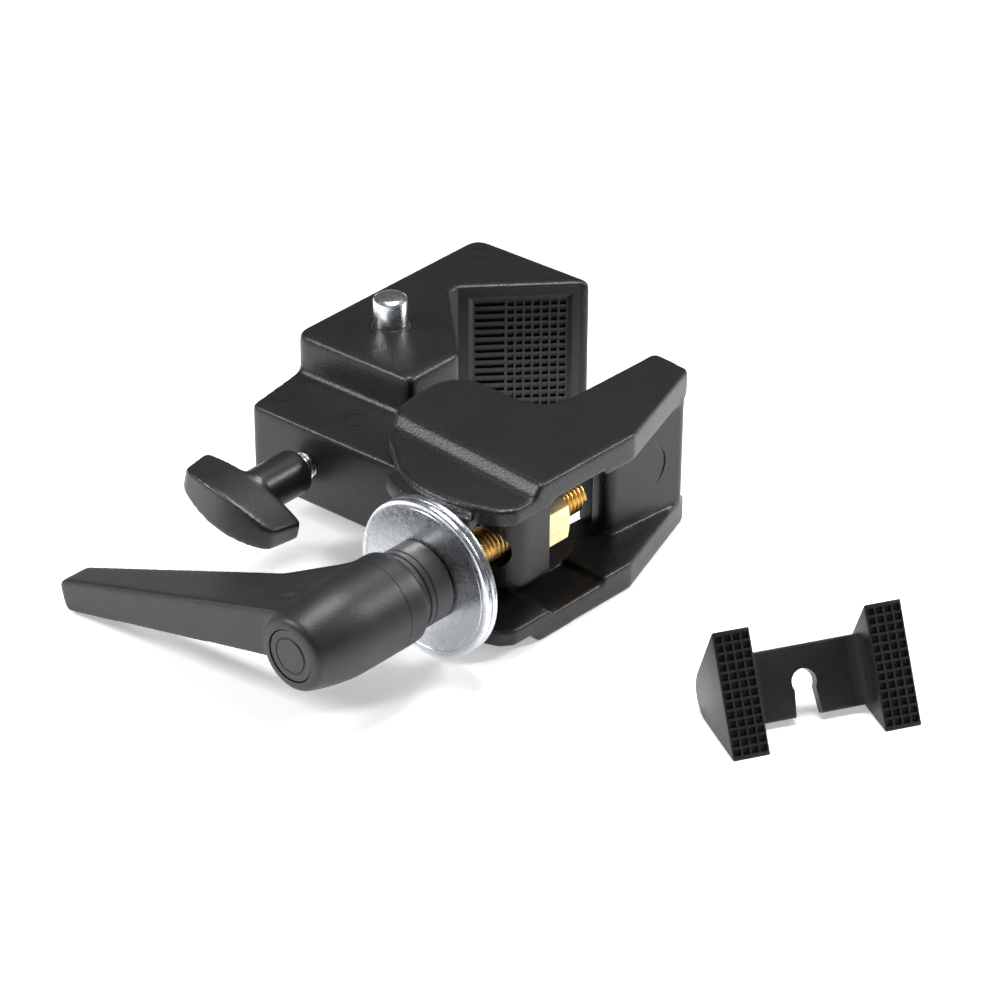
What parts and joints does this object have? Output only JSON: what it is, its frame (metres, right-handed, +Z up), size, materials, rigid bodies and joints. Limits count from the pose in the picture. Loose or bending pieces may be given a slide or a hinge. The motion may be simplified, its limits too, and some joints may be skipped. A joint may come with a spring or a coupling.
{
  "type": "studio pipe clamp",
  "caption": "Pipe clamp with a fixed V jaw, a swinging jaw closed by a screw and ratchet lever, a stud socket with knob and safety pin, and a loose wedge insert.",
  "frame": {"origin": "centre of the hexagonal stud socket's mouth, on the head's -X face", "axes": "+Z up from the broad side it lies on; +X from the stud socket towards the swinging jaw; +Y from the lever towards the open end of the jaws"},
  "size_m": [0.2072, 0.1744, 0.057],
  "materials": {
    "cast_black": "fine textured black powder coat on an aluminium casting",
    "pad_black": "moulded black plastic, satin",
    "steel": "plain bright steel",
    "yellow_zinc": "steel thread with yellow zinc plating",
    "yellow_zinc_nut": "hex nut with yellow zinc plating",
    "zinc": "bright zinc plated steel",
    "friction_plastic": "grey nylon",
    "ratchet_grey": "dark grey phosphated steel",
    "spring_steel": "spring wire",
    "lever_black": "fine grained black glass filled nylon",
    "cap_black": "satin black plastic",
    "bush_black": "black plastic",
    "knob_black": "semi gloss black plastic"
  },
  "bodies": {
    "clamp_body": {"body_casting": "cast_black", "fixed_jaw_pad": "pad_black", "safety_pin_bush": "bush_black", "safety_pin_plug": "bush_black"},
    "jaw": {"movable_jaw": "cast_black", "movable_jaw_pad": "pad_black", "jaw_pivot_pin": "steel"},
    "screw": {"clamp_screw": "yellow_zinc", "clamp_screw_nut": "yellow_zinc_nut"},
    "washers": {"rear_washer": "zinc", "friction_washer": "friction_plastic", "front_washer": "zinc"},
    "ratchet": {"ratchet_nut": "ratchet_grey", "lever_spring": "spring_steel", "spring_washer": "steel", "lever_retaining_screw": "steel"},
    "handle": {"lever": "lever_black", "lever_cap": "cap_black"},
    "pin": {"safety_pin": "zinc", "safety_pin_spring": "spring_steel"},
    "knob_slider": {"stud_knob_screw": "zinc"},
    "knob": {"stud_knob": "knob_black"},
    "wedge": {"wedge_insert": "pad_black"}
  },
  "joints": [
    {"name": "jaw_swing", "type": "hinge", "parent": "clamp_body", "child": "jaw", "pos_m": [0.0658, -0.0115, 0], "axis": [0, 0, 1], "range_deg": [-8, 40]},
    {"name": "screw_tilt", "type": "hinge", "parent": "clamp_body", "child": "screw", "pos_m": [0.0892, -0.011, 0], "axis": [0, 0, 1], "range_deg": [-1.3, 5.7]},
    {"name": "washer_travel", "type": "slide", "parent": "screw", "child": "washers", "axis": [0.0279, 0.9996, 0], "range_m": [-0.00275, 0.0138]},
    {"name": "lever_turn", "type": "hinge", "parent": "washers", "child": "ratchet", "pos_m": [0.0892, -0.011, 0], "axis": [0.0279, 0.9996, 0], "range_deg": [-656, 3284]},
    {"name": "lever_pull", "type": "slide", "parent": "ratchet", "child": "handle", "axis": [-0.0279, -0.9996, 0], "range_m": [0, 0.006], "stiffness_N_per_m": 800, "springref_m": -0.004, "deforming": ["lever_spring"]},
    {"name": "safety_pin_press", "type": "slide", "parent": "clamp_body", "child": "pin", "axis": [0, 0, -1], "range_m": [0, 0.0085], "stiffness_N_per_m": 400, "springref_m": -0.006, "deforming": ["safety_pin_spring"]},
    {"name": "knob_travel", "type": "slide", "parent": "clamp_body", "child": "knob_slider", "axis": [0, 1, 0], "range_m": [-0.006, 0.0025]},
    {"name": "knob_turn", "type": "hinge", "parent": "knob_slider", "child": "knob", "pos_m": [0.0245, -0.0312, 0], "axis": [0, 1, 0], "range_deg": [-1728.1, 720.1]},
    {"name": "wedge_lift", "type": "slide", "parent": "clamp_body", "child": "wedge", "axis": [0, 0, 1], "range_m": [0, 0.06]}
  ],
  "couplings": [
    {"joint": "jaw_swing", "follows": "lever_turn", "ratio": 0.01218},
    {"joint": "screw_tilt", "follows": "lever_turn", "ratio": 0.0017052},
    {"joint": "washer_travel", "follows": "lever_turn", "m_per_rad": 0.00023873},
    {"joint": "knob_turn", "follows": "knob_travel", "rad_per_m": 5026.5}
  ]
}
